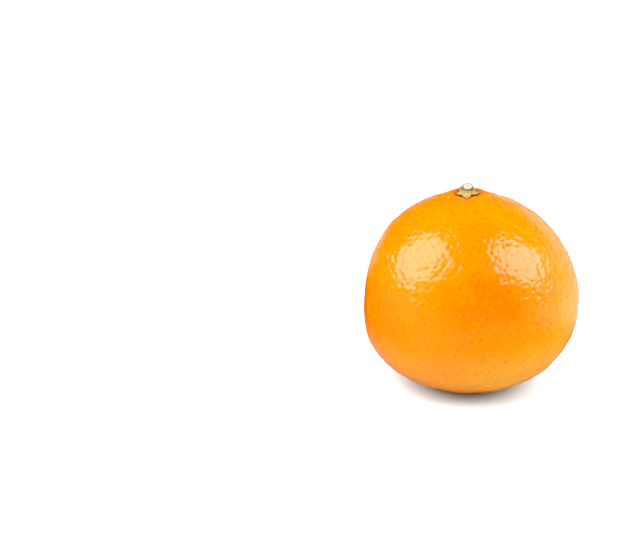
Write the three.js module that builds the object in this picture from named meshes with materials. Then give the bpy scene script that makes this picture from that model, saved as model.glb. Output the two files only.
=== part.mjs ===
/**
 * A fresh orange, standing on its blossom end with the star-shaped calyx and the cut stem still on it.
 *
 * Millimetres, +Z up. The origin is the middle of the flat spot that the fruit rests on.
 * Three separate pieces, from the bottom up:
 *   fruit      the whole orange, flesh and rind, one solid
 *   calyx      the five-lobed star, its button seated on the flat at the top of the fruit
 *   stem_stub  the short cut end of the stem, seated on the flat at the top of the calyx
 */
import * as THREE from 'three';

// ------------------------------------------------------------ driving dimensions, in millimetres and degrees

// Fruit, at its widest ring
const FRUIT_WIDTH = 72.0; // side to side
const FRUIT_DEPTH = 71.0; // front to back
const WIDEST_HEIGHT = 27.8; // height of the widest ring above the rest spot
const UPPER_RISE = 37.8; // from the widest ring to the crown, before the collar is raised on it

// Fruit profile
const UPPER_FULLNESS = 2.16; // 2 is an ellipse, more gives squarer shoulders
const LOWER_FULLNESS = 2.2;
const REST_SPOT_RADIUS = 10.0; // flat spot under the fruit
const COLLAR_RISE = 1.1; // the rind swells into a low collar round the calyx
const COLLAR_DISTANCE = 4.8; // from the axis to the top of the collar
const COLLAR_SPREAD = 3.2; // to where the collar has fallen to about a third
const SEAT_MARGIN = 0.4; // flat left round the calyx's button, inside the collar

// What keeps a grown fruit from being a perfect solid of revolution
const CROWN_LEAN_X = -2.2; // sideways shift of the crown
const CROWN_LEAN_Y = -1.2;
const COLLAR_SKEW = 0.5; // share by which the collar is higher on one side and lower on the other
const COLLAR_SKEW_ANGLE = 60; // towards its higher side
const RING_TILT = 2.5; // tilt of the widest ring, +X side up
const TWO_SIDED_SWELL = 0.006; // share of the radius
const TWO_SIDED_ANGLE = 35;
const THREE_SIDED_SWELL = 0.004;
const THREE_SIDED_ANGLE = 200;
const FLANK_SQUARENESS = 0.013; // the -X flank is flatter with fuller corners, the +X flank rounder
const SHOULDER_LIFT = 0.8; // the +X shoulder stands higher
const SHOULDER_DISTANCE = 12.5; // from the axis to its highest part
const SHOULDER_SPREAD = 7.0;
const FLANK_TUCK = 0.017; // share of the radius by which the +X side is drawn in above its widest ring
const FLANK_TUCK_LATITUDE = 34;
const FLANK_TUCK_SPREAD = 15;
const FURROW_COUNT = 8; // shallow furrows that run down from the collar
const FURROW_DEPTH = 0.16;
const FURROW_DISTANCE = 9.0; // from the axis to where they are deepest
const FURROW_SPREAD = 3.6;

// Calyx
const CALYX_LOBES = 5;
const CALYX_TIP_RADIUS = 4.2; // from the axis to a lobe's tip
const CALYX_VALLEY_RADIUS = 3.0; // from the axis to the notch between two lobes
const CALYX_BUTTON_RADIUS = 2.3; // the round middle that touches the fruit
const CALYX_HEIGHT = 0.9; // from its seat to the flat under the stem
const STEM_SEAT_MARGIN = 0.2; // flat left round the foot of the stem, on top of the calyx
const LOBE_THICKNESS = 0.55; // at the tip
const LOBE_CLEARANCE = 0.3; // between the lobes and the rind below them
const LOBE_SHARPNESS = 0.75; // under 1 gives pointed lobes
const FRONT_LOBE_ANGLE = -90; // one lobe points to -Y

// Stem stub
const STEM_RADIUS = 1.65;
const STEM_FLARE = 0.15; // how much wider its foot is
const STEM_HEIGHT = 1.8; // on its axis
const STEM_CUT_ANGLE = 25; // the cut slopes down towards -Y

// Fineness of the surfaces
const FRUIT_SEGMENTS = 72;
const LOWER_RINGS = 14;
const UPPER_RINGS = 22;
const CALYX_SEGMENTS = 60;
const STEM_SEGMENTS = 32;

// ------------------------------------------------------------ helpers

const radians = THREE.MathUtils.degToRad;
const smooth = THREE.MathUtils.smoothstep;

/** A profile of [distance from the axis, height] points turned round the Z axis. */
function turned(profile, segments) {
  const points = profile.map(([radius, height]) => new THREE.Vector2(radius, height));
  const geometry = new THREE.LatheGeometry(points, segments);
  geometry.rotateX(Math.PI / 2);
  return geometry;
}

/** Moves every vertex of a geometry by a function of its distance from the axis, angle and height. */
function reshaped(geometry, place) {
  const position = geometry.getAttribute('position');
  const segments = geometry.parameters.segments;
  for (let i = 0; i < position.count; i += 1) {
    const radius = Math.hypot(position.getX(i), position.getY(i));
    const turn = Math.atan2(position.getY(i), position.getX(i));
    const step = (2 * Math.PI) / segments;
    const angle = Math.round(turn / step) * step;
    position.setXYZ(i, ...place(radius, angle, position.getZ(i)));
  }
  geometry.computeVertexNormals();
  return geometry;
}

/** A named piece in its own colour. */
function piece(name, geometry, material) {
  const mesh = new THREE.Mesh(geometry, material);
  mesh.name = name;
  return mesh;
}

// ------------------------------------------------------------ fruit

const halfWidth = FRUIT_WIDTH / 2;
const depthShare = FRUIT_DEPTH / FRUIT_WIDTH;
const seatRadius = CALYX_BUTTON_RADIUS + SEAT_MARGIN;

/** Height that a full superellipse would reach, if it is `height` high at `radius` from the axis. */
function fullRise(height, radius, fullness) {
  return height / (1 - (radius / halfWidth) ** fullness) ** (1 / fullness);
}

/** Height of the collar above the crown at a distance from the axis. */
function collarHeight(radius) {
  return COLLAR_RISE * Math.exp(-(((radius - COLLAR_DISTANCE) / COLLAR_SPREAD) ** 2));
}

/** Height of the upper half's outline at a distance from the axis, the collar included. */
function upperHeight(radius) {
  const share = Math.min(radius / halfWidth, 1);
  const shoulder = UPPER_RISE * (1 - share ** UPPER_FULLNESS) ** (1 / UPPER_FULLNESS);
  return WIDEST_HEIGHT + shoulder + collarHeight(radius);
}

const seatHeight = upperHeight(seatRadius);

/** The quarter outline between the rest spot and the widest ring. */
function lowerOutline() {
  const rise = fullRise(WIDEST_HEIGHT, REST_SPOT_RADIUS, LOWER_FULLNESS);
  const power = 2 / LOWER_FULLNESS;
  const lowest = Math.acos((REST_SPOT_RADIUS / halfWidth) ** (1 / power));
  const outline = [];
  for (let i = 1; i <= LOWER_RINGS; i += 1) {
    const angle = lowest * (1 - i / LOWER_RINGS);
    outline.push([halfWidth * Math.cos(angle) ** power, WIDEST_HEIGHT - rise * Math.sin(angle) ** power]);
  }
  return outline;
}

/** The quarter outline between the widest ring and the seat of the calyx. */
function upperOutline() {
  const power = 2 / UPPER_FULLNESS;
  const highest = Math.acos((seatRadius / halfWidth) ** (1 / power));
  const outline = [];
  for (let i = 1; i <= UPPER_RINGS; i += 1) {
    const radius = halfWidth * Math.cos((highest * i) / UPPER_RINGS) ** power;
    outline.push([radius, upperHeight(radius)]);
  }
  return outline;
}

/** How far the collar's higher and lower sides move the surface, nothing at the seat. */
function collarSkew(radius, angle) {
  const clearOfSeat = smooth(radius, seatRadius, COLLAR_DISTANCE);
  const side = Math.cos(angle - radians(COLLAR_SKEW_ANGLE));
  return COLLAR_SKEW * side * clearOfSeat * collarHeight(radius);
}

/** How far the furrows round the collar lower the surface. */
function furrow(radius, angle) {
  const nearness = Math.exp(-(((radius - FURROW_DISTANCE) / FURROW_SPREAD) ** 2));
  const clearOfSeat = smooth(radius, seatRadius, 2 * seatRadius);
  return FURROW_DEPTH * nearness * clearOfSeat * (1 - Math.cos(FURROW_COUNT * angle));
}

/** How far the +X shoulder is raised. */
function shoulderLift(radius, angle) {
  const nearness = Math.exp(-(((radius - SHOULDER_DISTANCE) / SHOULDER_SPREAD) ** 2));
  const clearOfSeat = smooth(radius, seatRadius, 2 * seatRadius);
  return SHOULDER_LIFT * nearness * clearOfSeat * Math.max(Math.cos(angle), 0) ** 2;
}

/** Share of the radius by which the +X side is drawn in at a latitude above the widest ring. */
function flankTuck(angle, latitude) {
  const nearness = Math.exp(-(((latitude - radians(FLANK_TUCK_LATITUDE)) / radians(FLANK_TUCK_SPREAD)) ** 2));
  return FLANK_TUCK * nearness * Math.max(Math.cos(angle), 0) ** 2;
}

/** Share of the crown's lean at a height: none up to the widest ring, then growing to the crown. */
function leanShare(height) {
  const aboveRing = Math.max(height - WIDEST_HEIGHT, 0) / (seatHeight - WIDEST_HEIGHT);
  return Math.min(aboveRing, 1) ** 3;
}

/** Where a point of the turned profile ends up on the grown fruit. */
function grown(radius, angle, height) {
  const share = radius / halfWidth;
  const latitude = Math.atan2(height - WIDEST_HEIGHT, radius);
  const swell = 1
    + share * TWO_SIDED_SWELL * Math.cos(2 * (angle - radians(TWO_SIDED_ANGLE)))
    + share * THREE_SIDED_SWELL * Math.cos(3 * (angle - radians(THREE_SIDED_ANGLE)))
    + share * FLANK_SQUARENESS * Math.cos(angle) * Math.cos(4 * latitude)
    - share * flankTuck(angle, latitude);
  const level = height / seatHeight;
  const tilt = Math.tan(radians(RING_TILT)) * 4 * level * (1 - level);
  const x = radius * swell * Math.cos(angle);
  const y = radius * swell * Math.sin(angle) * depthShare;
  const raised = collarSkew(radius, angle) + shoulderLift(radius, angle) - furrow(radius, angle);
  const relief = height > WIDEST_HEIGHT ? raised : 0;
  const lean = leanShare(height);
  return [x + lean * CROWN_LEAN_X, y + lean * CROWN_LEAN_Y, height + tilt * x + relief];
}

function fruit(material) {
  const profile = [
    [0, 0],
    [REST_SPOT_RADIUS, 0],
    ...lowerOutline(),
    ...upperOutline(),
    [0, seatHeight],
  ];
  return piece('fruit', reshaped(turned(profile, FRUIT_SEGMENTS), grown), material);
}

// ------------------------------------------------------------ calyx

/** How far out the calyx reaches at an angle: 1 at a lobe's tip, 0 in the notch between two lobes. */
function lobeReach(angle) {
  const pitch = (2 * Math.PI) / CALYX_LOBES;
  const turns = (angle - radians(FRONT_LOBE_ANGLE)) / pitch;
  const offTip = 2 * Math.abs(turns - Math.round(turns));
  return 1 - offTip ** LOBE_SHARPNESS;
}

/** Stretches the calyx into a star whose lobes follow the collar, clear of the rind. */
function starred(radius, angle, height) {
  if (radius <= CALYX_BUTTON_RADIUS) {
    return [radius * Math.cos(angle), radius * Math.sin(angle), height];
  }
  const rim = CALYX_VALLEY_RADIUS + (CALYX_TIP_RADIUS - CALYX_VALLEY_RADIUS) * lobeReach(angle);
  const outward = (radius - CALYX_BUTTON_RADIUS) / (CALYX_TIP_RADIUS - CALYX_BUTTON_RADIUS);
  const distance = CALYX_BUTTON_RADIUS + (rim - CALYX_BUTTON_RADIUS) * outward;
  const outside = Math.max(distance, seatRadius);
  const rise = upperHeight(outside) + collarSkew(outside, angle) - seatHeight;
  return [distance * Math.cos(angle), distance * Math.sin(angle), height + rise];
}

function calyx(material) {
  const stemSeatRadius = STEM_RADIUS + STEM_FLARE + STEM_SEAT_MARGIN;
  const reach = CALYX_TIP_RADIUS - CALYX_BUTTON_RADIUS;
  const underside = [0.25, 0.5, 0.75].map((share) => [CALYX_BUTTON_RADIUS + reach * share, LOBE_CLEARANCE]);
  const tipTop = LOBE_CLEARANCE + LOBE_THICKNESS;
  const upperSide = [0.75, 0.5, 0.25].map((share) => [
    CALYX_BUTTON_RADIUS + reach * share,
    THREE.MathUtils.lerp(CALYX_HEIGHT, tipTop, share),
  ]);
  const profile = [
    [0, 0],
    [CALYX_BUTTON_RADIUS, 0],
    ...underside,
    [CALYX_TIP_RADIUS, LOBE_CLEARANCE],
    [CALYX_TIP_RADIUS, tipTop],
    ...upperSide,
    [stemSeatRadius, CALYX_HEIGHT],
    [0, CALYX_HEIGHT],
  ];
  return piece('calyx', reshaped(turned(profile, CALYX_SEGMENTS), starred), material);
}

// ------------------------------------------------------------ stem stub

/** Slopes the cut at the top of the stem, more the nearer a point is to it. */
function slantCut(radius, angle, height) {
  const y = radius * Math.sin(angle);
  const slope = Math.tan(radians(STEM_CUT_ANGLE)) * (height / STEM_HEIGHT);
  return [radius * Math.cos(angle), y, height + slope * y];
}

function stemStub(material) {
  const profile = [
    [0, 0],
    [STEM_RADIUS + STEM_FLARE, 0],
    [STEM_RADIUS, 0.4 * STEM_HEIGHT],
    [STEM_RADIUS, 0.85 * STEM_HEIGHT],
    [0.9 * STEM_RADIUS, STEM_HEIGHT],
    [0, STEM_HEIGHT],
  ];
  return piece('stem_stub', reshaped(turned(profile, STEM_SEGMENTS), slantCut), material);
}

// ------------------------------------------------------------ materials and assembly

const rind = new THREE.MeshStandardMaterial({ color: '#ff9405', roughness: 0.35, metalness: 0 });
const calyxSkin = new THREE.MeshStandardMaterial({ color: '#b39a4a', roughness: 0.8, metalness: 0 });
const cutWood = new THREE.MeshStandardMaterial({ color: '#e6d6b4', roughness: 0.85, metalness: 0 });

const orange = new THREE.Group();
orange.add(fruit(rind));

const crown = new THREE.Group();
crown.position.set(CROWN_LEAN_X, CROWN_LEAN_Y, seatHeight);
orange.add(crown);

crown.add(calyx(calyxSkin));

const stem = stemStub(cutWood);
stem.position.z = CALYX_HEIGHT;
crown.add(stem);

export default orange;
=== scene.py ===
"""A fresh orange with its calyx and cut stem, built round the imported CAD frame.

The fruit's skin is a fine mesh laid on the CAD shape, with real pits, swells and creases.
The calyx and the stem stub are modelled in place of their plain CAD solids.
Everything is in metres. MM turns millimetres into metres.
"""
import math

import bmesh
import bpy
import numpy as np
from mathutils import Euler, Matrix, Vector, noise
from mathutils.bvhtree import BVHTree
from mathutils.kdtree import KDTree


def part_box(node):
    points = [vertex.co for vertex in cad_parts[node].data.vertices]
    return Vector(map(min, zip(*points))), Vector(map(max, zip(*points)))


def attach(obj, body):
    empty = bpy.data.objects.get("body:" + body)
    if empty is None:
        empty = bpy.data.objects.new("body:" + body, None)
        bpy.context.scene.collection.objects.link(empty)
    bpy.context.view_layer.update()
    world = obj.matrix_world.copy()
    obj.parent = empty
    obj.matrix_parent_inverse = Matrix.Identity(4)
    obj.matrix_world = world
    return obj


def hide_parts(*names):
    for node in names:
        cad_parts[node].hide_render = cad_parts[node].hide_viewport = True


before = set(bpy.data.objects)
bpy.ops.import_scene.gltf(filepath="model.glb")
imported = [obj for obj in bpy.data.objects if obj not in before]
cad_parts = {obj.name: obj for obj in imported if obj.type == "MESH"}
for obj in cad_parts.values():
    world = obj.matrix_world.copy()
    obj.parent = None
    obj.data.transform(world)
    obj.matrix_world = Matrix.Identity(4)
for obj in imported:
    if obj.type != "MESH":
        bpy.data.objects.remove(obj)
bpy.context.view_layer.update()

MM = 0.001
SEED = 7

# ------------------------------------------------------------------ places taken from the frame
fruit_low, fruit_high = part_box("fruit")
calyx_low, calyx_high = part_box("calyx")
stem_low, stem_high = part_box("stem_stub")
# CROWN is on the stem's axis, at the foot of the calyx
CROWN = Vector(((stem_low.x + stem_high.x) / 2, (stem_low.y + stem_high.y) / 2, calyx_low.z))
CENTRE = Vector((0, 0, (fruit_low.z + fruit_high.z) / 2))
STEM_BASE = stem_low.z
STEM_TOP = stem_high.z
STEM_RADIUS = (stem_high.x - stem_low.x) / 2
CALYX_REACH = calyx_high.x - CROWN.x

# ------------------------------------------------------------------ sizes of the fine detail
SKIN_CELLS = 128  # squares along each edge of the cube that the skin mesh is blown up from
SKIN_ROUNDING = 3  # subdivision steps that round the CAD's facets
SKIN_SOFTENING = 8  # smoothing steps that take out what is left of them
PIT_COUNT = 3300
PIT_RADIUS = 0.52 * MM
PIT_DEPTH = 0.09 * MM
PIT_RADIUS_SHARES = (0.7, 1.25)  # smallest and largest pit, as shares of these two
PIT_DEPTH_SHARES = (0.45, 1.3)
RESTING_PITS = 0.35  # share of their depth that the pits keep on the rest spot
PIT_RIM = 0.22  # height of a pit's rim, as a share of its depth
SWELL_SIZE = 7.5 * MM
SWELL_HEIGHT = 0.22 * MM
RIPPLE_SIZE = 2.4 * MM
RIPPLE_HEIGHT = 0.14 * MM
CRINKLE_SIZE = 1.05 * MM
CRINKLE_HEIGHT = 0.065 * MM
BUMP_COUNT = 42  # little domes of rind round the calyx
BUMP_DISTANCES = (4.6 * MM, 11.0 * MM)  # nearest and furthest from the stem's axis
BUMP_RADII = (0.6 * MM, 1.2 * MM)
BUMP_HEIGHTS = (0.16 * MM, 0.40 * MM)
CROWN_DEPTH = 14 * MM  # how far below the calyx its bumps and creases may reach
CREASE_DEPTH = 0.22 * MM  # creases that run out from under the calyx
CREASE_DISTANCE = 5.5 * MM
CREASE_SPREAD = 3.2 * MM
RIDGE_HEIGHT = 0.45 * MM  # ridge of rind behind the calyx
RIDGE_DISTANCE = 5.4 * MM
RIDGE_SPREAD = 2.2 * MM
SCAR_RADIUS = 1.7 * MM  # blossom scar, in the middle of the rest spot
SCAR_DEPTH = 0.5 * MM
BLUSH_AND_SHADE_DIRECTIONS = ((0.13, -0.96, 0.22), (-0.85, -0.35, -0.38))  # where the rind is deepest orange: at the front it is the rind's own tone, low on the left it is painted shade
SIDE_SHADE_SHARE = 0.6  # distances from the second place count for less, so its painted shade spreads further

CALYX_LOBES = 5
NOTCH_RADIUS = 2.45 * MM  # from the stem's axis to the notch between two lobes
LOBE_SHARPNESS = 1.2
LOBE_GAP = 0.06 * MM  # between a lobe and the rind
LOBE_THICKNESS = 0.20 * MM  # at the tip
HUB_THICKENING = 0.32 * MM  # what is added to it towards the stem
TIP_CURL = 0.50 * MM  # lift of a lobe's tip off the rind
BACK_CURL = 0.45 * MM  # added to it at the back
FRONT_CURL = 0.38 * MM  # taken off it at the front
LOBE_RIB = 0.16 * MM  # raised line down the middle of a lobe
LOBE_GRAIN = 0.09 * MM
COLLAR_LIFT = 0.7 * MM  # height of the calyx's collar up the foot of the stem
CALYX_HOLE = 0.8 * MM  # radius of the innermost ring, under the stem
CALYX_POINTS = 240  # round each ring

STEM_POINTS = 128  # round each ring
CUT_SLANT = 22.0  # degrees, higher at the back
WOOD_EDGE = 0.88  # share of the radius inside which the cut shows wood
PITH_LEVEL = 0.93  # height of the middle of the cut, as a share of the height there

# ------------------------------------------------------------------ camera and light
CAMERA_ELEVATION = 20.0  # angles are in degrees
CAMERA_DISTANCE = 397.5 * MM
CAMERA_LENS = 66.8  # millimetres, as the sensor's width
CAMERA_SENSOR = 36
TURN_LEFT = 8.1  # the view's axis passes the fruit on the left
PITCH_DOWN = 19.66
WORLD_STRENGTH = 0.58  # of the surround as it lights the fruit and the floor
BACKDROP_STRENGTH = 1.1  # of the surround as the camera sees it
BACKDROP_DIRECTION = (0.6, 0.8, -0.8)  # the part of the surround that gloss mirrors at full strength
SWEEP_GLOW = 0.68  # of the floor at 43 mm from the middle, growing to twice that at 450 mm
FLOOR_SIZE = 4.0  # from the middle to each edge
SOFTBOX_DISTANCE = 0.48  # from the fruit's centre
SOFTBOXES = (  # name, direction from the fruit, width, height, roll, radiance
    ("left_softbox", (-0.758, -0.294, 0.582), 0.39, 0.51, -30, 5.4),
    ("right_softbox", (0.757, -0.194, 0.624), 0.33, 0.43, 45, 5.7),
)
BLACK_POINT = 0.012  # scene values up to this come out black


# ------------------------------------------------------------------ mesh helpers
def new_object(name, vertices, faces, smooth=True):
    mesh = bpy.data.meshes.new(name)
    mesh.from_pydata([tuple(v) for v in vertices], [], [tuple(f) for f in faces])
    mesh.validate()
    if smooth:
        mesh.shade_smooth()
    thing = bpy.data.objects.new(name, mesh)
    bpy.context.scene.collection.objects.link(thing)
    return thing


def positions(mesh):
    flat = np.empty(len(mesh.vertices) * 3)
    mesh.vertices.foreach_get("co", flat)
    return flat.reshape(-1, 3)


def vertex_normals(mesh):
    flat = np.empty(len(mesh.vertices) * 3)
    mesh.vertex_normals.foreach_get("vector", flat)
    return flat.reshape(-1, 3)


def move_to(mesh, points):
    mesh.vertices.foreach_set("co", np.asarray(points).ravel())
    mesh.update()


def paint(mesh, name, values):
    layer = mesh.attributes.new(name, "FLOAT", "POINT")
    layer.data.foreach_set("value", np.asarray(values, dtype=np.float32))


def noise_field(points, size, offset):
    """Smooth noise, about -1 to 1, with features of the given size."""
    shift = Vector((offset, 0, 0))
    return np.array([noise.noise(Vector(p) / size + shift) for p in points])


def bell(distance, radius):
    return np.exp(-((distance / radius) ** 2))


def fade(value, low, high):
    t = np.clip((value - low) / (high - low), 0, 1)
    return t * t * (3 - 2 * t)


# ------------------------------------------------------------------ fruit
def rounded_target(node, levels):
    """The CAD node's facets rounded by subdivision, ready for rays to be cast at."""
    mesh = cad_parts[node].data.copy()
    shape = bmesh.new()
    shape.from_mesh(mesh)
    bmesh.ops.remove_doubles(shape, verts=shape.verts, dist=0.001 * MM)
    bmesh.ops.join_triangles(
        shape, faces=shape.faces, angle_face_threshold=0.7, angle_shape_threshold=0.7
    )
    shape.to_mesh(mesh)
    shape.free()
    target = bpy.data.objects.new("target", mesh)
    bpy.context.scene.collection.objects.link(target)
    target.modifiers.new("round", "SUBSURF").levels = levels
    graph = bpy.context.evaluated_depsgraph_get()
    tree = BVHTree.FromObject(target, graph)
    bpy.data.objects.remove(target)
    bpy.data.meshes.remove(mesh)
    return tree


def ball_grid(cells):
    """Directions and squares of an even ball: a cube's faces blown up to a sphere, with shared edges."""
    steps = np.tan(np.linspace(-math.pi / 4, math.pi / 4, cells + 1))
    index = {}
    directions = []
    squares = []

    def corner(face, i, j):
        side = {0: (1, steps[i], steps[j]), 1: (-1, steps[j], steps[i]), 2: (steps[j], 1, steps[i])}
        rest = {3: (steps[i], -1, steps[j]), 4: (steps[i], steps[j], 1), 5: (steps[j], steps[i], -1)}
        point = (side | rest)[face]
        key = tuple(round(c, 6) for c in point)
        if key not in index:
            index[key] = len(directions)
            directions.append(point)
        return index[key]

    for face in range(6):
        grid = [[corner(face, i, j) for j in range(cells + 1)] for i in range(cells + 1)]
        for i in range(cells):
            for j in range(cells):
                squares.append((grid[i][j], grid[i + 1][j], grid[i + 1][j + 1], grid[i][j + 1]))
    directions = np.array(directions)
    return directions / np.linalg.norm(directions, axis=1)[:, None], squares


def spread_points(count, tree, draw):
    """Points scattered evenly but not regularly over the surface round the fruit's centre."""
    turn = math.pi * (3 - math.sqrt(5))
    points = []
    for i in range(count):
        z = 1 - 2 * (i + 0.5) / count
        ring = math.sqrt(1 - z * z)
        direction = Vector((ring * math.cos(turn * i), ring * math.sin(turn * i), z))
        direction += Vector(draw.normal(0, 0.5 / math.sqrt(count), 3))
        hit = tree.ray_cast(CENTRE, direction.normalized())[0]
        if hit:
            points.append(hit)
    return points


def pit_relief(points, tree, draw):
    """Depth of the pits at each point, and how far inside a pit it is, 0 to 1."""
    centres = spread_points(PIT_COUNT, tree, draw)
    radii = PIT_RADIUS * draw.uniform(*PIT_RADIUS_SHARES, len(centres))
    depths = PIT_DEPTH * draw.uniform(*PIT_DEPTH_SHARES, len(centres))
    lookup = KDTree(len(centres))
    for i, centre in enumerate(centres):
        lookup.insert(centre, i)
    lookup.balance()
    depth = np.zeros(len(points))
    inside = np.zeros(len(points))
    for row, point in enumerate(points):
        for _, i, distance in lookup.find_n(point, 3):
            share = math.exp(-((distance / radii[i]) ** 2))
            rim = math.exp(-(((distance - 2 * radii[i]) / radii[i]) ** 2))
            depth[row] += depths[i] * (share - PIT_RIM * rim)
            inside[row] = max(inside[row], share * depths[i] / PIT_DEPTH)
    return depth, inside


def crown_relief(points, draw):
    """Height of the domes, creases and ridge round the calyx, and distance from the stem's axis."""
    offsets = points - np.array(CROWN)
    distance = np.hypot(offsets[:, 0], offsets[:, 1])
    angle = np.arctan2(offsets[:, 1], offsets[:, 0])
    upper = offsets[:, 2] > -CROWN_DEPTH
    height = np.zeros(len(points))
    for _ in range(BUMP_COUNT):
        reach = draw.uniform(*BUMP_DISTANCES)
        turn = draw.uniform(0, 2 * math.pi)
        size = draw.uniform(*BUMP_RADII)
        lift = draw.uniform(*BUMP_HEIGHTS)
        middle = (reach * math.cos(turn), reach * math.sin(turn))
        away = np.hypot(offsets[:, 0] - middle[0], offsets[:, 1] - middle[1])
        height += lift * bell(away, size)
    near = bell(distance - CREASE_DISTANCE, CREASE_SPREAD)
    creases = np.abs(np.sin(4.5 * angle + 1.3 * np.sin(2 * angle + 0.7))) ** 0.6
    height -= CREASE_DEPTH * near * (1 - creases)
    behind = (1 + np.sin(angle)) / 2
    height += RIDGE_HEIGHT * bell(distance - RIDGE_DISTANCE, RIDGE_SPREAD) * behind
    return np.where(upper, height, 0), distance


def make_fruit():
    """The skin: an even mesh cast onto the rounded CAD fruit, softened, then moved by all the relief."""
    draw = np.random.default_rng(SEED)
    tree = rounded_target("fruit", SKIN_ROUNDING)
    directions, squares = ball_grid(SKIN_CELLS)
    reach = 2 * (fruit_high - fruit_low).length
    base = np.array([tree.ray_cast(CENTRE, Vector(d), reach)[0] for d in directions])
    fruit = new_object("orange_fruit", base, squares)
    soften = fruit.modifiers.new("soften", "SMOOTH")
    soften.factor = 0.5
    soften.iterations = SKIN_SOFTENING
    graph = bpy.context.evaluated_depsgraph_get()
    base = positions(fruit.evaluated_get(graph).data)
    fruit.modifiers.remove(soften)
    move_to(fruit.data, base)
    normals = vertex_normals(fruit.data)

    depth, inside = pit_relief(base, tree, draw)
    bumps, crown_distance = crown_relief(base, draw)
    # each noise starts at a place of its own, so the three don't line up
    swell = SWELL_HEIGHT * noise_field(base, SWELL_SIZE, 3.1)
    ripple = RIPPLE_HEIGHT * noise_field(base, RIPPLE_SIZE, 11.7)
    ripple += CRINKLE_HEIGHT * noise_field(base, CRINKLE_SIZE, 23.9)
    # the flat spot stays flat, but for shallow pits and the blossom scar
    resting = fade(base[:, 2], 0.05 * MM, 1.5 * MM)
    # distance from the middle of the rest spot, made large everywhere above it
    blossom = np.hypot(base[:, 0], base[:, 1]) + 40 * MM * fade(base[:, 2], 1 * MM, 6 * MM)
    scar = SCAR_DEPTH * bell(blossom, SCAR_RADIUS)
    depth *= RESTING_PITS + (1 - RESTING_PITS) * resting
    height = (swell + ripple + bumps) * resting - depth - scar
    move_to(fruit.data, base + normals * height[:, None])

    paint(fruit.data, "pit", inside)
    # the rind's shader reads these distances in millimetres
    paint(fruit.data, "crown", crown_distance / MM)
    paint(fruit.data, "blossom", blossom / MM)
    radius = (fruit_high.z - fruit_low.z) / 2
    # the front place is the rind's own deeper orange; the place low on the left is painted shade, a darker
    # orange
    from_front, from_shaded_side = [
        np.linalg.norm(base - np.array(CENTRE) - radius * np.array(direction), axis=1)
        for direction in BLUSH_AND_SHADE_DIRECTIONS
    ]
    paint(fruit.data, "blush_and_painted_shade", np.minimum(from_front, SIDE_SHADE_SHARE * from_shaded_side) / MM)
    return fruit


# ------------------------------------------------------------------ calyx and stem
def lobe_shape(angle, lobes, sharpness):
    """1 at a lobe's tip, 0 in the notch between two."""
    pitch = 2 * np.pi / lobes
    turns = (angle + np.pi / 2) / pitch
    off_tip = 2 * np.abs(turns - np.round(turns))
    return 1 - off_tip ** sharpness


def surface_height(tree, x, y):
    """Height of the rind straight below a point above the fruit."""
    hit = tree.ray_cast(Vector((x, y, fruit_high.z + 10 * MM)), Vector((0, 0, -1)))[0]
    return hit.z


def wrap_rings(rings, around):
    """Faces of a closed skin of rings with `around` points each, shut by a fan at both ends."""
    faces = []
    for ring in range(rings - 1):
        for i in range(around):
            j = (i + 1) % around
            low = ring * around
            high = low + around
            faces.append((low + i, low + j, high + j, high + i))
    first = rings * around
    last = first + 1
    for i in range(around):
        j = (i + 1) % around
        faces.append((first, j, i))
        faces.append((last, (rings - 1) * around + i, (rings - 1) * around + j))
    return faces


def make_calyx(tree):
    """A raised collar round the foot of the stem, running out into five thin lobes that follow the rind."""
    around = CALYX_POINTS
    angles = np.arange(around) * 2 * np.pi / around
    tip = lobe_shape(angles, CALYX_LOBES, LOBE_SHARPNESS)
    front = bell(angles - 1.5 * np.pi, 0.5)
    back = bell(angles - 0.5 * np.pi, 1.1)
    # no two lobes alike, and the front one is the longest
    wobble = 1 + 0.07 * np.sin(3 * angles + 1) + 0.04 * np.sin(7 * angles) + 0.02 * np.sin(19 * angles)
    rim = (NOTCH_RADIUS + (CALYX_REACH * (1.04 + 0.16 * front) - NOTCH_RADIUS) * tip ** 0.9) * wobble
    rows = []
    for share in np.linspace(0.25, 1, 8):
        rows.append((share, "under"))
    for share in np.linspace(1, 0, 30):
        rows.append((share, "upper"))
    vertices = []
    outward = []
    for share, side in rows:
        for i in range(around):
            if side == "under":
                reach = rim[i] * share
            else:
                reach = CALYX_HOLE + (rim[i] - CALYX_HOLE) * share
            x = CROWN.x + reach * math.cos(angles[i])
            y = CROWN.y + reach * math.sin(angles[i])
            rind = surface_height(tree, x, y)
            edge = float(fade(share, 0.7, 1.0))
            curl = (TIP_CURL + BACK_CURL * back[i] - FRONT_CURL * front[i]) * edge * tip[i]
            if side == "under":
                z = rind + LOBE_GAP * float(fade(share, 0.3, 0.8)) + curl
            else:
                thick = LOBE_THICKNESS + HUB_THICKENING * (1 - share)
                hub = float(1 - fade(reach, 1.9 * MM, 2.8 * MM))
                grain = LOBE_GRAIN * noise.noise(Vector((x, y, 0)) / (0.7 * MM))
                grain *= float(fade(share, 0.2, 0.45))
                rib = LOBE_RIB * tip[i] ** 3
                rib *= float(fade(share, 0.3, 0.6) * (1 - fade(share, 0.8, 1.0)))
                lobe_top = rind + LOBE_GAP + thick + curl
                z = (1 - hub) * lobe_top + hub * (STEM_BASE + COLLAR_LIFT) + rib + grain
            vertices.append((x, y, z))
            outward.append(reach / CALYX_REACH)
    vertices.append((CROWN.x, CROWN.y, CROWN.z))
    vertices.append((CROWN.x, CROWN.y, STEM_BASE + COLLAR_LIFT))
    outward += [0.0, 0.0]
    calyx = new_object("orange_calyx", vertices, wrap_rings(len(rows), around))
    paint(calyx.data, "outward", outward)
    return calyx


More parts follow.
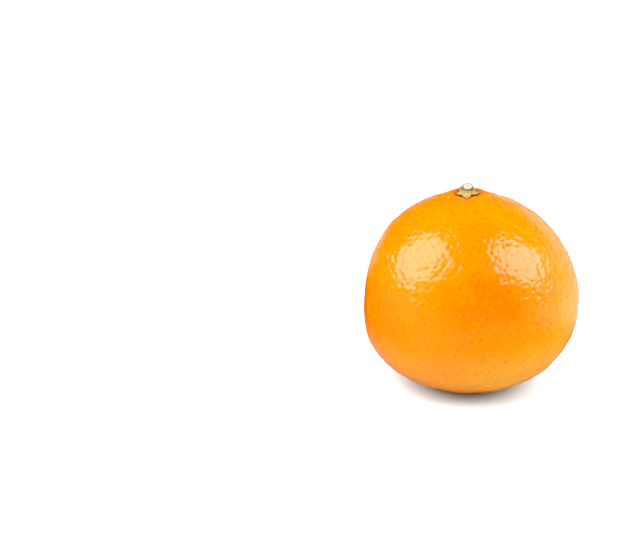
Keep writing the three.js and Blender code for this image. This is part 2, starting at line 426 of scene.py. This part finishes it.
def make_stem():
    """The stub of the stem: a ribbed side and a slanting cut, slightly sunken inside its rim."""
    around = STEM_POINTS
    angles = np.arange(around) * 2 * np.pi / around
    radius = STEM_RADIUS
    slope = math.tan(math.radians(CUT_SLANT))
    front_top = STEM_TOP - 2 * radius * slope
    ribs = 0.04 * np.sin(11 * angles + 0.5) + 0.03 * np.sin(17 * angles + 2) + 0.03 * np.sin(5 * angles)
    # rings of the stem from its foot to the middle of the cut: share of the radius, share of the height
    sides = [(1.08, 0.0), (1.05, 0.2), (1.02, 0.4), (1.0, 0.6), (0.99, 0.8), (0.98, 0.93), (0.95, 1.0)]
    cut = [(0.90, 1.0), (0.86, 0.96), (0.74, 0.95), (0.5, 0.97), (0.3, 0.98), (0.15, 0.94)]
    vertices = []
    cut_mark = []
    rim_mark = []
    for kind, rows in (("side", sides), ("cut", cut)):
        for scale, level in rows:
            for i in range(around):
                width = scale * radius * (1 + ribs[i] * (1 if kind == "side" else 0.6))
                x = width * math.cos(angles[i])
                y = width * math.sin(angles[i])
                top = front_top + (y + radius) * slope
                z = STEM_BASE + (top - STEM_BASE) * level
                if kind == "cut":
                    z += 0.05 * MM * noise.noise(Vector((x, y, 1)) / (0.5 * MM))
                vertices.append((CROWN.x + x, CROWN.y + y, z))
                cut_mark.append(1.0 if kind == "cut" and scale < WOOD_EDGE else 0.0)
                rim_mark.append(scale)
    middle_top = front_top + radius * slope
    vertices.append((CROWN.x, CROWN.y, STEM_BASE))
    vertices.append((CROWN.x, CROWN.y, STEM_BASE + (middle_top - STEM_BASE) * PITH_LEVEL))
    cut_mark += [0.0, 1.0]
    rim_mark += [1.0, 0.0]
    stem = new_object("orange_stem_stub", vertices, wrap_rings(len(sides) + len(cut), around))
    paint(stem.data, "cut", cut_mark)
    paint(stem.data, "outward", rim_mark)
    return stem


# ------------------------------------------------------------------ materials
class Shader:
    """A node material put together by short calls."""

    def __init__(self, name):
        self.material = bpy.data.materials.new(name)
        self.material.use_nodes = True
        self.nodes = self.material.node_tree.nodes
        self.links = self.material.node_tree.links
        self.surface = self.nodes["Principled BSDF"]

    def node(self, kind, **inputs):
        made = self.nodes.new(kind)
        for key, value in inputs.items():
            self.put(made.inputs[key.replace("_", " ")], value)
        return made

    def put(self, socket, value):
        if isinstance(value, bpy.types.NodeSocket):
            self.links.new(value, socket)
        else:
            socket.default_value = value

    def attribute(self, name):
        made = self.nodes.new("ShaderNodeAttribute")
        made.attribute_name = name
        return made.outputs["Fac"]

    def noise(self, size, detail=3.0, roughness=0.55):
        place = self.nodes.new("ShaderNodeTexCoord").outputs["Object"]
        made = self.node(
            "ShaderNodeTexNoise", Vector=place, Scale=1 / size, Detail=detail, Roughness=roughness
        )
        return made.outputs["Fac"]

    def ramp(self, factor, *stops):
        """Values or colours at positions along a factor, eased from one to the next."""
        made = self.node("ShaderNodeValToRGB", Fac=factor)
        ramp = made.color_ramp
        ramp.interpolation = "EASE"
        for i, (position, value) in enumerate(stops):
            if i >= len(ramp.elements):
                ramp.elements.new(position)
            ramp.elements[i].position = position
            colour = value if isinstance(value, tuple) else (value, value, value)
            ramp.elements[i].color = (*colour, 1)
        return made.outputs["Color"]

    def remap(self, value, low, high, to_low=0.0, to_high=1.0):
        made = self.nodes.new("ShaderNodeMapRange")
        for socket, number in zip(made.inputs, (value, low, high, to_low, to_high)):
            self.put(socket, number)
        return made.outputs["Result"]

    def mix(self, factor, first, second):
        """The first colour where factor is 0, the second where it is 1."""
        made = self.nodes.new("ShaderNodeMix")
        made.data_type = "RGBA"
        self.put(made.inputs["Factor"], factor)
        colours = [s for s in made.inputs if s.type == "RGBA"]
        for socket, value in zip(colours, (first, second)):
            self.put(socket, (*value, 1) if isinstance(value, tuple) else value)
        return [s for s in made.outputs if s.type == "RGBA"][0]

    def maths(self, operation, first, second=0.0):
        made = self.nodes.new("ShaderNodeMath")
        made.operation = operation
        self.put(made.inputs[0], first)
        self.put(made.inputs[1], second)
        return made.outputs["Value"]

    def bump(self, *layers):
        """Stacks (height, distance, strength) layers of bump."""
        normal = None
        for height, distance, strength in layers:
            made = self.node("ShaderNodeBump", Height=height, Distance=distance, Strength=strength)
            if normal:
                self.put(made.inputs["Normal"], normal)
            normal = made.outputs["Normal"]
        self.put(self.surface.inputs["Normal"], normal)

    def set(self, **values):
        for key, value in values.items():
            self.put(self.surface.inputs[key.replace("_", " ")], value)


def rind_material():
    """Orange rind, deepest orange at the front, with painted shade low on the left, darker in the pits,
    duller by the calyx, with a ring of painted shade round it, and brown at the scar.
    """
    s = Shader("rind")
    pit = s.attribute("pit")
    broad = s.noise(24 * MM, 2.0)
    blotch = s.noise(6 * MM, 3.0)
    speckle = s.noise(1.1 * MM, 2.0)
    from_blush_and_shade = s.attribute("blush_and_painted_shade")
    # deeper orange near these places: the rind's own tone at the front, painted shade low on the left
    ripeness_and_shade = s.maths("ADD", from_blush_and_shade, s.remap(broad, 0.3, 0.7, -5.0, 5.0))
    colour = s.ramp(
        s.remap(ripeness_and_shade, 0.0, 40.0),
        (0.12, (0.635, 0.143, 0.0)),
        (0.4, (0.645, 0.189, 0.0)),
        (0.75, (0.655, 0.240, 0.0)),
    )
    colour = s.mix(s.ramp(blotch, (0.4, 0.0), (0.7, 0.3)), colour, (0.62, 0.186, 0.0))
    colour = s.mix(s.ramp(speckle, (0.45, 0.0), (0.72, 0.2)), colour, (0.66, 0.31, 0.002))
    colour = s.mix(s.remap(pit, 0.2, 1.0, 0.0, 0.5), colour, (0.46, 0.10, 0.0))
    crown = s.attribute("crown")
    near_crown = s.remap(crown, 4.0, 10.0, 1.0, 0.0)
    warm = s.maths("MULTIPLY", near_crown, s.ramp(blotch, (0.35, 0.25), (0.65, 0.8)))
    colour = s.mix(warm, colour, (0.52, 0.148, 0.02))
    # painted shade: a near-black ring on the rind just round the calyx, in its notches and under its lobe
    # tips
    colour = s.mix(s.remap(crown, 3.2, 4.2, 1.0, 0.0), colour, (0.10, 0.022, 0.007))
    by_scar = s.remap(s.attribute("blossom"), 0.8, 2.6, 0.9, 0.0)
    colour = s.mix(by_scar, colour, (0.23, 0.10, 0.023))
    s.set(Base_Color=colour, IOR=1.5, Subsurface_Weight=0.12, Subsurface_Scale=2.5 * MM)
    s.surface.inputs["Subsurface Radius"].default_value = (1.0, 0.35, 0.08)
    s.set(Roughness=s.ramp(blotch, (0.35, 0.165), (0.7, 0.21)))
    s.bump(
        (s.noise(0.95 * MM, 2.0, 0.55), 0.065 * MM, 0.9),
        (s.noise(0.45 * MM, 2.0, 0.5), 0.008 * MM, 0.5),
    )
    return s.material


def calyx_material():
    s = Shader("calyx")
    outward = s.attribute("outward")
    fibre = s.noise(0.35 * MM, 4.0)
    mottle = s.noise(1.0 * MM, 3.0)
    colour = s.ramp(
        outward,
        (0.42, (0.08, 0.08, 0.023)),
        (0.54, (0.28, 0.23, 0.055)),
        (0.68, (0.57, 0.355, 0.085)),
        (0.86, (0.53, 0.30, 0.10)),
        (1.0, (0.46, 0.21, 0.11)),
    )
    colour = s.mix(s.ramp(mottle, (0.50, 0.0), (0.72, 0.5)), colour, (0.26, 0.12, 0.046))
    colour = s.mix(s.ramp(fibre, (0.4, 0.0), (0.75, 0.4)), colour, (0.62, 0.42, 0.155))
    s.set(Base_Color=colour, Roughness=s.ramp(fibre, (0.3, 0.6), (0.7, 0.8)), IOR=1.4)
    s.bump((fibre, 0.10 * MM, 0.8))
    return s.material


def stem_material():
    s = Shader("stem")
    cut = s.attribute("cut")
    outward = s.attribute("outward")
    fibre = s.noise(0.3 * MM, 4.0)
    bark = s.ramp(fibre, (0.35, (0.085, 0.085, 0.042)), (0.7, (0.20, 0.19, 0.10)))
    wood = s.ramp(
        outward,
        (0.0, (0.43, 0.34, 0.24)),
        (0.2, (0.52, 0.42, 0.32)),
        (0.7, (0.53, 0.45, 0.35)),
        (0.86, (0.30, 0.27, 0.17)),
    )
    wood = s.mix(s.ramp(fibre, (0.45, 0.0), (0.75, 0.35)), wood, (0.51, 0.40, 0.28))
    s.set(Base_Color=s.mix(cut, bark, wood), Roughness=s.ramp(fibre, (0.3, 0.65), (0.7, 0.85)), IOR=1.4)
    s.bump((fibre, 0.08 * MM, 0.8))
    return s.material


def floor_material():
    """Matt white paper that glows further out, as a lit studio sweep does.

    In what gloss mirrors, the glow is off and the paper is dark, but for the part close to the fruit and the
    part behind it on the right.
    """
    s = Shader("floor")
    grain = s.noise(3 * MM, 2.0)
    paper = s.ramp(grain, (0.3, (0.645, 0.735, 0.795)), (0.7, (0.66, 0.75, 0.81)))
    mirrored = s.nodes.new("ShaderNodeLightPath").outputs["Is Glossy Ray"]
    place = s.nodes.new("ShaderNodeTexCoord").outputs["Object"]
    far = s.node("ShaderNodeVectorMath", Vector=place)
    far.operation = "LENGTH"
    glow = s.ramp(
        s.remap(far.outputs["Value"], 0.0, 0.5),
        (0.02, 0.0),
        (0.085, SWEEP_GLOW),
        (0.9, 2 * SWEEP_GLOW),
    )
    close = s.remap(far.outputs["Value"], 0.042, 0.072, 0.38, 0.01)
    behind = s.node("ShaderNodeVectorMath", Vector=place)
    behind.operation = "DOT_PRODUCT"
    behind.inputs[1].default_value = (*BACKDROP_DIRECTION[:2], 0)
    back = s.remap(behind.outputs["Value"], 0.03, 0.10, 0.0, 0.62)
    seen_in_gloss = s.maths("MAXIMUM", close, back)
    s.set(Base_Color=s.mix(mirrored, paper, seen_in_gloss), Roughness=1.0)
    unmirrored_glow = s.maths("MULTIPLY", glow, s.remap(mirrored, 0, 1, 1, 0.0))
    s.set(Emission_Color=(0.9, 1, 1.03, 1), Emission_Strength=unmirrored_glow)
    s.surface.inputs["Specular IOR Level"].default_value = 0
    return s.material


# ------------------------------------------------------------------ stage
def make_floor():
    size = FLOOR_SIZE
    corners = [(-size, -size, 0), (size, -size, 0), (size, size, 0), (-size, size, 0)]
    floor = new_object("floor", corners, [(0, 1, 2, 3)], smooth=False)
    floor.data.materials.append(floor_material())


def make_softbox(name, direction, width, height, roll, radiance):
    """A soft panel that faces the fruit from a direction, turned by roll degrees about its own axis."""
    panel = bpy.data.lights.new(name, "AREA")
    panel.shape = "RECTANGLE"
    panel.size = width
    panel.size_y = height
    panel.energy = radiance * math.pi * width * height
    lamp = bpy.data.objects.new(name, panel)
    lamp.location = CENTRE + Vector(direction).normalized() * SOFTBOX_DISTANCE
    facing = (lamp.location - CENTRE).to_track_quat("Z", "Y")
    turn = Euler((0, 0, math.radians(roll)))
    lamp.rotation_euler = (facing.to_matrix() @ turn.to_matrix()).to_euler()
    bpy.context.scene.collection.objects.link(lamp)


def make_world():
    """A white surround, plain white to the camera.

    What gloss mirrors of it is dark in front, where a dim room would be, and white low down at the back.
    """
    world = bpy.data.worlds.new("studio")
    world.use_nodes = True
    nodes = world.node_tree.nodes
    links = world.node_tree.links
    background = nodes["Background"]
    background.inputs["Color"].default_value = (1, 1, 1, 1)
    direction = nodes.new("ShaderNodeTexCoord").outputs["Generated"]
    behind = nodes.new("ShaderNodeVectorMath")
    behind.operation = "DOT_PRODUCT"
    links.new(direction, behind.inputs[0])
    behind.inputs[1].default_value = BACKDROP_DIRECTION
    mirrored = nodes.new("ShaderNodeMapRange")
    links.new(behind.outputs["Value"], mirrored.inputs["Value"])
    mirrored.interpolation_type = "SMOOTHSTEP"
    for name, value in (("From Min", 0.3), ("From Max", 0.95), ("To Min", 0.01), ("To Max", 1.0)):
        mirrored.inputs[name].default_value = value
    rays = nodes.new("ShaderNodeLightPath")
    unseen = nodes.new("ShaderNodeMix")
    links.new(rays.outputs["Is Glossy Ray"], unseen.inputs["Factor"])
    unseen.inputs["A"].default_value = WORLD_STRENGTH
    links.new(mirrored.outputs["Result"], unseen.inputs["B"])
    strength = nodes.new("ShaderNodeMix")
    links.new(rays.outputs["Is Camera Ray"], strength.inputs["Factor"])
    links.new(unseen.outputs["Result"], strength.inputs["A"])
    strength.inputs["B"].default_value = BACKDROP_STRENGTH
    links.new(strength.outputs["Result"], background.inputs["Strength"])
    bpy.context.scene.world = world


def make_camera():
    lens = bpy.data.cameras.new("camera")
    lens.lens = CAMERA_LENS
    lens.sensor_width = CAMERA_SENSOR
    lens.clip_start = 0.01
    camera = bpy.data.objects.new("camera", lens)
    rise = math.radians(CAMERA_ELEVATION)
    camera.location = CENTRE + CAMERA_DISTANCE * Vector((0, -math.cos(rise), math.sin(rise)))
    camera.rotation_euler = Euler((math.radians(90 - PITCH_DOWN), 0, math.radians(TURN_LEFT)), "XYZ")
    bpy.context.scene.collection.objects.link(camera)
    bpy.context.scene.camera = camera


def develop_picture():
    """Plain colours with a slightly raised black point, which deepens the darkest tones a little."""
    view = bpy.context.scene.view_settings
    view.view_transform = "Standard"
    view.use_curve_mapping = True
    view.curve_mapping.black_level = (BLACK_POINT, BLACK_POINT, BLACK_POINT)
    view.curve_mapping.update()


make_camera()
make_world()
make_floor()
for softbox in SOFTBOXES:
    make_softbox(*softbox)
develop_picture()

fruit = make_fruit()
fruit.data.materials.append(rind_material())
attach(fruit, "root")
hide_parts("fruit")

skin = BVHTree.FromObject(fruit, bpy.context.evaluated_depsgraph_get())
calyx = make_calyx(skin)
calyx.data.materials.append(calyx_material())
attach(calyx, "root")
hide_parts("calyx")

stem = make_stem()
stem.data.materials.append(stem_material())
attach(stem, "root")
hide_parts("stem_stub")
